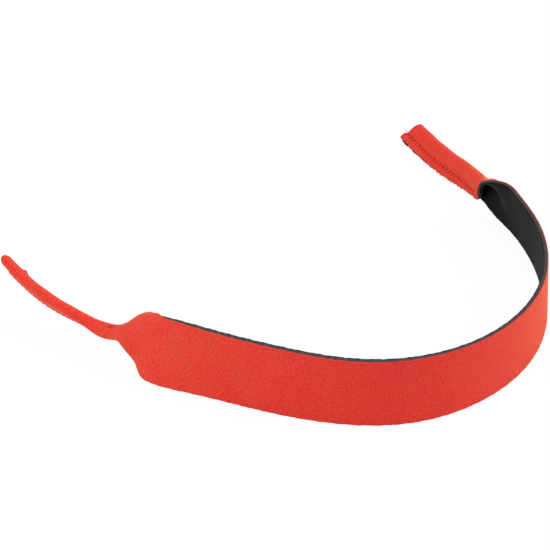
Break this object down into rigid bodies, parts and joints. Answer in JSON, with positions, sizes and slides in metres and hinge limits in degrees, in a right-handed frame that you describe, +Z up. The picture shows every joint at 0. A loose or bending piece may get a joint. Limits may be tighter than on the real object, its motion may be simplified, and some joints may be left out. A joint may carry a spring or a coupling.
{
  "type": "eyeglass retainer strap",
  "caption": "Soft foam-core strap that rests in an open loop; each end is folded lengthwise and sewn into a narrow sleeve that grips a glasses temple.",
  "frame": {"origin": "centre of the base of the bounding box, on the surface that the strap stands on with its lower edge", "axes": "+Z up across the band's width; +X to the right as seen from the band's outer face at the front; +Y away from that front, towards the open side of the loop"},
  "size_m": [0.2392, 0.2258, 0.0302],
  "materials": {
    "jersey": "matte fine knit",
    "foam": "matte closed-cell foam",
    "lining": "matte fine knit",
    "thread": "matte spun thread"
  },
  "bodies": {
    "band": {"band_jersey": "jersey", "band_foam": "foam", "band_lining": "lining"},
    "left_side": {"left_side_jersey": "jersey", "left_side_foam": "foam", "left_side_lining": "lining"},
    "left_sleeve": {"left_sleeve_jersey": "jersey", "left_sleeve_foam": "foam", "left_sleeve_lining": "lining", "left_seam_needle_thread": "thread", "left_seam_bobbin_thread": "thread"},
    "right_side": {"right_side_jersey": "jersey", "right_side_foam": "foam", "right_side_lining": "lining"},
    "right_sleeve": {"right_sleeve_jersey": "jersey", "right_sleeve_foam": "foam", "right_sleeve_lining": "lining", "right_seam_needle_thread": "thread", "right_seam_bobbin_thread": "thread"}
  },
  "joints": [
    {"name": "left_side_flex", "type": "hinge", "parent": "band", "child": "left_side", "pos_m": [0.02464, -0.10971, 0.01508], "axis": [0.0111, 0.0675, 0.9977], "range_deg": [-25, 50], "stiffness_Nm_per_rad": 0.004},
    {"name": "left_neck_flex", "type": "hinge", "parent": "left_side", "child": "left_sleeve", "pos_m": [-0.03479, -0.08923, 0.01501], "axis": [0.0812, 0.1914, 0.9781], "range_deg": [-30, 55], "stiffness_Nm_per_rad": 0.004},
    {"name": "right_side_flex", "type": "hinge", "parent": "band", "child": "right_side", "pos_m": [0.11452, -0.04267, 0.01508], "axis": [-0.0702, 0.0147, 0.9974], "range_deg": [-50, 25], "stiffness_Nm_per_rad": 0.004},
    {"name": "right_neck_flex", "type": "hinge", "parent": "right_side", "child": "right_sleeve", "pos_m": [0.1111, 0.01961, 0.01506], "axis": [-0.2052, -0.058, 0.977], "range_deg": [-55, 30], "stiffness_Nm_per_rad": 0.004}
  ]
}
